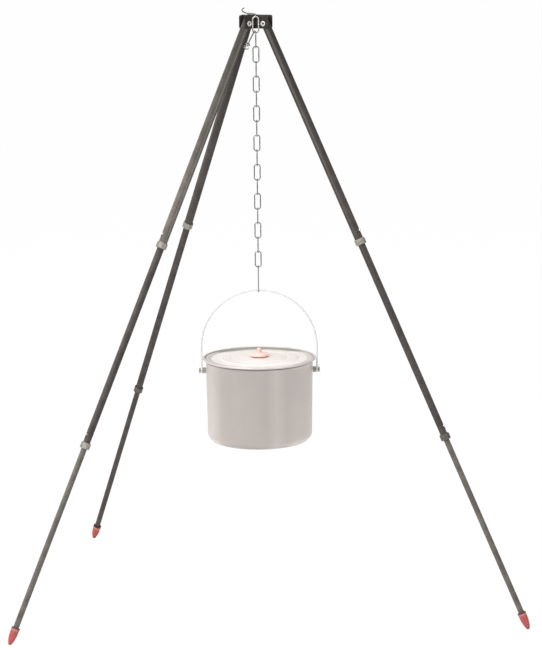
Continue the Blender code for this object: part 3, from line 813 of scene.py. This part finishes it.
def spline(points, steps=6):
    """Catmull-Rom curve through points."""
    points = [Vector(point) for point in points]
    ends = [points[0] * 2 - points[1]] + points + [points[-1] * 2 - points[-2]]
    result = []
    for i in range(1, len(ends) - 2):
        a, b, c, d = ends[i - 1:i + 3]
        for k in range(steps):
            t = k / steps
            result.append(0.5 * (2 * b + (c - a) * t + (2 * a - 5 * b + 4 * c - d) * t ** 2
                                 + (3 * b - a - 3 * c + d) * t ** 3))
    return result + [points[-1]]


def build_suspension_hook():
    """Wire hook over the front plate, with its free end standing above the hub."""
    plate_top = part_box("hub_plate_front")[1].z
    first = joint_place("chain_hinge_01")
    back = first.y + LINK_BEND + PLATE_BEND
    shoulder = plate_top - 1.2 * MM
    top = HUB + Vector((0, 0, plate_top))
    tip, pull, across, near = [top + Vector(place) * MM for place in FREE_END]
    shares = [0, 0.25, 0.5, 0.75]
    rise = [tip * (1 - t) ** 2 + pull * 2 * t * (1 - t) + across * t ** 2 for t in shares]
    over = arc((back, shoulder), PLATE_BEND, 50, 180, 10)
    seat = arc((first.y, first.z + LINK_BEND), LINK_BEND, 0, -190, 16)
    bends = [(first.x, y, z) for y, z in over + seat]
    line = spline(rise + [across, near], 5) + bends
    piece("suspension_hook_fine", sweep(line, HOOK_WIRE), "hub", "suspension_hook", "bright_zinc")


# ---- chain ----------------------------------------------------------------------------------------
LINK_WAIST = 0.35 * MM                    # how far a link's sides are drawn in
WIRE_GAP = 0.5 * MM                       # between two wires that bear on each other
TAIL_BOTTOM_BEND = 4.8 * MM
TAIL_STEM = 6.5 * MM
POT_HOOK_BOTTOM_BEND = 6.2 * MM


def link_mesh(half_length, half_width):
    """Oval link in XZ: round ends, sides drawn in a little, and a weld bead on one side."""
    bend = half_width
    straight = half_length - bend
    sides = 6
    loop = arc((0, straight), bend, 0, 180, 14)
    loop += [(-bend + LINK_WAIST * math.sin(math.pi * i / sides), straight * (1 - 2 * i / sides))
             for i in range(1, sides)]
    loop += arc((0, -straight), bend, 180, 360, 14)
    loop += [(bend - LINK_WAIST * math.sin(math.pi * i / sides), straight * (2 * i / sides - 1))
             for i in range(1, sides)]
    bead = (len(loop) - sides / 2) / len(loop)

    def swell(share):
        return 1 + 0.14 * math.exp(-((share - bead) / 0.018) ** 2)

    return sweep([(x, 0, z) for x, z in loop], LINK_WIRE, closed=True, swell=swell)


def link_place(node, rest):
    """A link's middle, with its own Z along it; rest is its turn from upright."""
    low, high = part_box(node)
    return Matrix.Translation((low + high) / 2) @ rest


def wire_look(node):
    """The first link hangs in front of the dark hub and catches the light."""
    return "lit_zinc" if node == "chain_link_01" else None


def build_chain():
    """The hanging links, each a copy of one mesh, alternately face on and edge on."""
    low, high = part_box("chain_link_01")
    half_length = (high.z - low.z) / 2 - LINK_WIRE
    half_width = (high.x - low.x) / 2 - LINK_WIRE
    shape = link_mesh(half_length, half_width)
    upright = Matrix.Identity(4)
    edge_on = Matrix.Rotation(math.pi / 2, 4, "Z")
    links = sorted(name for name in frame["nodes"] if name.startswith("chain_link_"))
    for i, node in enumerate(links):
        turn = edge_on if i % 2 else upright
        if i // 2 % 2:
            turn = turn @ Matrix.Rotation(math.pi, 4, "X")
        piece(f"{node}_fine", shape.copy(), node, node, "bright_zinc", link_place(node, turn),
              wire_look(node))
    build_tail(shape)
    build_pot_hook()


def s_hook(top_bend, bottom_bend, stem, opening=-50):
    """S-hook about the middle of its top bend, in YZ."""
    top = arc((0, 0), top_bend, opening, 180, 22)
    bottom = arc((0, -stem), bottom_bend, 0, -200, 22)
    return [(0, a, b) for a, b in top + bottom]


def build_tail(shape):
    """The chain's free end: one link and a small S-hook on the first link."""
    top = joint_place("tail_link_hinge")
    bottom = joint_place("tail_hook_hinge")
    up = (top - bottom).normalized()
    along = Vector(JOINTS["tail_hook_hinge"]["axis"]).normalized()
    across = along.cross(up).normalized()
    middle = link_place("tail_link", Matrix.Identity(4)).translation
    piece("tail_link_fine", shape, "tail_link", "tail_link", "bright_zinc",
          axes(along, -across, up, middle))
    contact = LINK_WIRE + HOOK_WIRE + WIRE_GAP
    hook_place = axes(along, -across, up, bottom) @ Matrix.Translation((0, 0, contact - LINK_BEND))
    hook = s_hook(LINK_BEND, TAIL_BOTTOM_BEND, TAIL_STEM, -20)
    piece("tail_hook_fine", sweep(hook, HOOK_WIRE), "tail_hook", "tail_hook", "bright_zinc",
          hook_place)


def build_pot_hook():
    """S-hook between the last link and the bail."""
    top = joint_place("pot_hook_hinge")
    seat = joint_place("pot_bail_hinge")
    head = top.z + LINK_WIRE + HOOK_WIRE + WIRE_GAP - LINK_BEND
    stem = head - seat.z - POT_HOOK_BOTTOM_BEND
    hook = s_hook(LINK_BEND, POT_HOOK_BOTTOM_BEND, stem)
    piece("pot_hook_fine", sweep(hook, HOOK_WIRE), "pot_hook", "pot_hook", "bright_zinc",
          Matrix.Translation((top.x, top.y, head)))


# ---- pot ------------------------------------------------------------------------------------------
BAIL_WIRE = 2.0 * MM                      # radius
BAIL_EYE = 5.6 * MM
POT_WALL = 121.1 * MM                     # radii
POT_FOOT = 119.0 * MM
POT_SEAT = 123.5 * MM
POT_THICKNESS = 1.2 * MM
KNOB_DISC = 5.2 * MM                      # height of the disc's widest part
KNOB_DOME = 4.6 * MM


def build_bail():
    """Wire arch over the pot with an eye round each ear."""
    ears = joint_place("pot_tilt")
    low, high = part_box("pot_bail")
    reach = (high.x - low.x) / 2 - BAIL_WIRE
    shoulder = high.z - BAIL_WIRE - reach
    right_eye = [(reach, y, ears.z + z) for y, z in arc((0, 0), BAIL_EYE, 440, 180, 34)]
    left_eye = [(-x, y, z) for x, y, z in reversed(right_eye)]
    over = [(x, 0, z) for x, z in arc((0, shoulder), reach, 0, 180, 72)]
    piece("pot_bail_fine", sweep(right_eye + over + left_eye, BAIL_WIRE), "pot_bail", "pot_bail",
          "bright_zinc", Matrix.Translation((ears.x, ears.y, 0)), "white_wire")


def build_ears():
    """Turned spools that the bail's eyes sit on."""
    ears = joint_place("pot_tilt")
    for name, sign in (("left", -1), ("right", 1)):
        node = f"pot_ear_{name}"
        low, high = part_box(node)
        inner, outer = sorted(abs(x - ears.x) for x in (low.x, high.x))
        groove = outer - 6.2 * MM
        profile = rounded([
            (0, outer), (5.0 * MM, outer), (6.0 * MM, outer - 1.0 * MM),
            (6.0 * MM, groove + 2.6 * MM), (3.2 * MM, groove + 2.6 * MM),
            (3.2 * MM, groove - 2.6 * MM), (6.6 * MM, groove - 2.6 * MM), (6.6 * MM, inner),
            (0, inner)], 0.45 * MM)
        place = Matrix.Translation(ears) @ Matrix.Rotation(sign * math.pi / 2, 4, "Y")
        piece(f"{node}_fine", lathe(profile, sides=48), "pot", node, "satin_aluminium", place,
              "ear_metal")


def build_pot():
    """Spun pot with a rolled lip and a ledge for the lid."""
    low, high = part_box("pot_shell")
    middle = (low + high) / 2
    place = Matrix.Translation((middle.x, middle.y, 0))
    lip = (high.x - low.x) / 2
    rim = high.z
    base = low.z
    ledge = rim - 4.3 * MM
    profile = [
        (0, base + 1.6 * MM), (POT_FOOT - 11 * MM, base + 1.6 * MM),
        (POT_FOOT - POT_THICKNESS, base + 13 * MM), (POT_WALL - POT_THICKNESS, ledge - 3.0 * MM),
        (POT_SEAT, ledge), (POT_SEAT, rim - 0.4 * MM), (lip - 2.4 * MM, rim),
        (lip, rim - 0.6 * MM), (lip - 0.2 * MM, rim - 4.0 * MM),
        (lip - 3.4 * MM, ledge - 0.6 * MM), (POT_WALL + 0.4 * MM, ledge - 4.6 * MM),
        (POT_WALL, ledge - 14 * MM), (POT_FOOT, base + 12 * MM), (POT_FOOT - 10 * MM, base),
        (0, base),
    ]
    softened = rounded(profile[:3], 8 * MM, steps=8)[:-1]
    softened += rounded(profile[2:11], 1.2 * MM, steps=6)[:-1]
    softened += rounded(profile[10:], 5.0 * MM, steps=10)
    piece("pot_shell_fine", lathe(softened, sides=160), "pot", "pot_shell", "satin_aluminium",
          place)
    build_lid(place)
    build_knob(place)


def build_lid(place):
    """Shallow lid with a rolled edge and pressed rings."""
    low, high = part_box("pot_lid")
    edge = (high.x - low.x) / 2
    top = high.z
    outline = [(0, 0), (18, 0), (30, -0.6), (60, -1.0), (62.5, -1.9), (66, -1.9), (68.5, -1.2),
               (86, -1.6), (90, -3.2), (111, -3.2), (114.5, -2.0), (121.6, -2.0)]
    skin = [(radius * MM, top + height * MM) for radius, height in outline]
    under = [(radius, height - 1.0 * MM) for radius, height in reversed(skin[:-1])]
    profile = rounded(skin + [(edge, top - 2.8 * MM), (edge - 0.4 * MM, low.z + 0.4 * MM)] + under,
                      1.1 * MM, steps=5)
    piece("pot_lid_fine", lathe(profile, sides=160), "pot_lid", "pot_lid", "satin_aluminium",
          place, "lid_aluminium")


def build_knob(place):
    """Domed plastic knob with an upright stem."""
    low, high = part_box("lid_knob")
    radius = (high.x - low.x) / 2
    base = low.z
    dome = [(radius * c, base + KNOB_DISC + KNOB_DOME * s)
            for c, s in arc((0, 0), 1, 66, 0, 12)]
    profile = [(0, high.z), (3.9 * MM, high.z), (4.9 * MM, high.z - 1.2 * MM),
               (5.2 * MM, dome[0][1] + 1.4 * MM)] + dome
    profile += [(radius - 0.8 * MM, base + 2.0 * MM), (12 * MM, base), (0, base)]
    piece("lid_knob_fine", lathe(rounded(profile, 0.8 * MM), sides=72), "pot_lid", "lid_knob",
          "coral_knob", place)


# ---- studio ---------------------------------------------------------------------------------------
FLOOR_REACH = 400
FLOOR_GLOW = 1.02
FLOOR_GLOW_SHARE = 0.95                   # of what the camera sees of the floor
SKY_STRENGTH = 0.62
SKY_RIGHT = 0.22                          # grey of the sky on the unlit side
LIGHTS = (                                # name, place, target, size, watts
    ("key", (-2.6, -3.2, 3.0), (0, 0, 0.6), (2.2, 2.2), 120),
    ("fill", (3.2, -2.4, 2.2), (0, 0, 0.6), (2.0, 2.4), 32),
    ("top", (0, 0.6, 4.0), (0, 0, 0.4), (3.0, 3.0), 90),
)


def build_camera():
    """Camera in front of the tripod, a little above the hub."""
    ahead = Vector((math.sin(CAMERA_YAW) * math.cos(CAMERA_PITCH),
                    math.cos(CAMERA_YAW) * math.cos(CAMERA_PITCH), -math.sin(CAMERA_PITCH)))
    level = Vector((math.cos(CAMERA_YAW), -math.sin(CAMERA_YAW), 0))
    above = level.cross(ahead)
    right = level * math.cos(CAMERA_ROLL) + above * math.sin(CAMERA_ROLL)
    up = above * math.cos(CAMERA_ROLL) - level * math.sin(CAMERA_ROLL)
    data = bpy.data.cameras.new("camera")
    data.lens = CAMERA_LENS
    data.sensor_width = 36
    camera = bpy.data.objects.new("camera", data)
    camera.matrix_world = axes(right, up, -ahead, HUB + CAMERA_PLACE)
    bpy.context.scene.collection.objects.link(camera)
    bpy.context.scene.camera = camera


def area_light(name, place, target, size, power):
    """Soft rectangular light facing a target."""
    data = bpy.data.lights.new(name, "AREA")
    data.shape = "RECTANGLE"
    data.size, data.size_y = size
    data.energy = power
    light = bpy.data.objects.new(name, data)
    light.location = place
    light.rotation_euler = (Vector(target) - Vector(place)).to_track_quat("-Z", "Y").to_euler()
    bpy.context.scene.collection.objects.link(light)


def build_floor():
    """Pale floor that glows a little to the camera, so that it meets the background."""
    mesh = bpy.data.meshes.new("floor")
    work = bmesh.new()
    bmesh.ops.create_grid(work, x_segments=1, y_segments=1, size=FLOOR_REACH)
    work.to_mesh(mesh)
    work.free()
    floor = bpy.data.objects.new("floor", mesh)
    bpy.context.scene.collection.objects.link(floor)
    paint = bpy.data.materials.new("floor")
    paint.use_nodes = True
    tree = paint.node_tree
    shader = tree.nodes["Principled BSDF"]
    shader.inputs["Base Color"].default_value = (0.93, 0.93, 0.93, 1)
    shader.inputs["Roughness"].default_value = 0.9
    shader.inputs["Specular IOR Level"].default_value = 0.1
    glow = tree.nodes.new("ShaderNodeEmission")
    glow.inputs["Strength"].default_value = FLOOR_GLOW
    seen = tree.nodes.new("ShaderNodeLightPath")
    share = tree.nodes.new("ShaderNodeMath")
    share.operation = "MULTIPLY"
    share.inputs[1].default_value = FLOOR_GLOW_SHARE
    blend = tree.nodes.new("ShaderNodeMixShader")
    tree.links.new(seen.outputs["Is Camera Ray"], share.inputs[0])
    tree.links.new(share.outputs[0], blend.inputs["Fac"])
    tree.links.new(shader.outputs[0], blend.inputs[1])
    tree.links.new(glow.outputs[0], blend.inputs[2])
    tree.links.new(blend.outputs[0], tree.nodes["Material Output"].inputs["Surface"])
    mesh.materials.append(paint)


def build_sky():
    """White to the camera; to the pieces a softer sky that darkens towards the right."""
    world = bpy.data.worlds.new("studio")
    bpy.context.scene.world = world
    world.use_nodes = True
    tree = world.node_tree
    background = tree.nodes["Background"]
    background.inputs["Color"].default_value = (1, 1, 1, 1)
    lit = tree.nodes.new("ShaderNodeBackground")
    path = tree.nodes.new("ShaderNodeLightPath")
    mix = tree.nodes.new("ShaderNodeMixShader")
    place = tree.nodes.new("ShaderNodeTexCoord")
    split = tree.nodes.new("ShaderNodeSeparateXYZ")
    half = tree.nodes.new("ShaderNodeMath")
    half.operation = "MULTIPLY_ADD"
    half.inputs[1].default_value = 0.5
    half.inputs[2].default_value = 0.5
    ramp = tree.nodes.new("ShaderNodeValToRGB")
    left, right = ramp.color_ramp.elements
    left.position = 0.30
    left.color = (1, 1, 1, 1)
    right.position = 0.85
    right.color = (SKY_RIGHT, SKY_RIGHT, SKY_RIGHT, 1)
    tree.links.new(place.outputs["Generated"], split.inputs[0])
    tree.links.new(split.outputs[0], half.inputs[0])
    tree.links.new(half.outputs[0], ramp.inputs["Fac"])
    tree.links.new(ramp.outputs["Color"], lit.inputs["Color"])
    lit.inputs["Strength"].default_value = SKY_STRENGTH
    tree.links.new(path.outputs["Is Camera Ray"], mix.inputs["Fac"])
    tree.links.new(lit.outputs[0], mix.inputs[1])
    tree.links.new(background.outputs[0], mix.inputs[2])
    tree.links.new(mix.outputs[0], tree.nodes["World Output"].inputs["Surface"])


def build_studio():
    """Floor, sky and three soft lights."""
    build_floor()
    build_sky()
    for light in LIGHTS:
        area_light(*light)
    bpy.context.scene.view_settings.view_transform = "Standard"


for leg_side in SIDES:
    build_leg(leg_side)
for plate_name in ("front", "right", "left"):
    build_plate(plate_name)
build_suspension_hook()
build_chain()
build_bail()
build_ears()
build_pot()
build_camera()
build_studio()

bpy.context.view_layer.update()
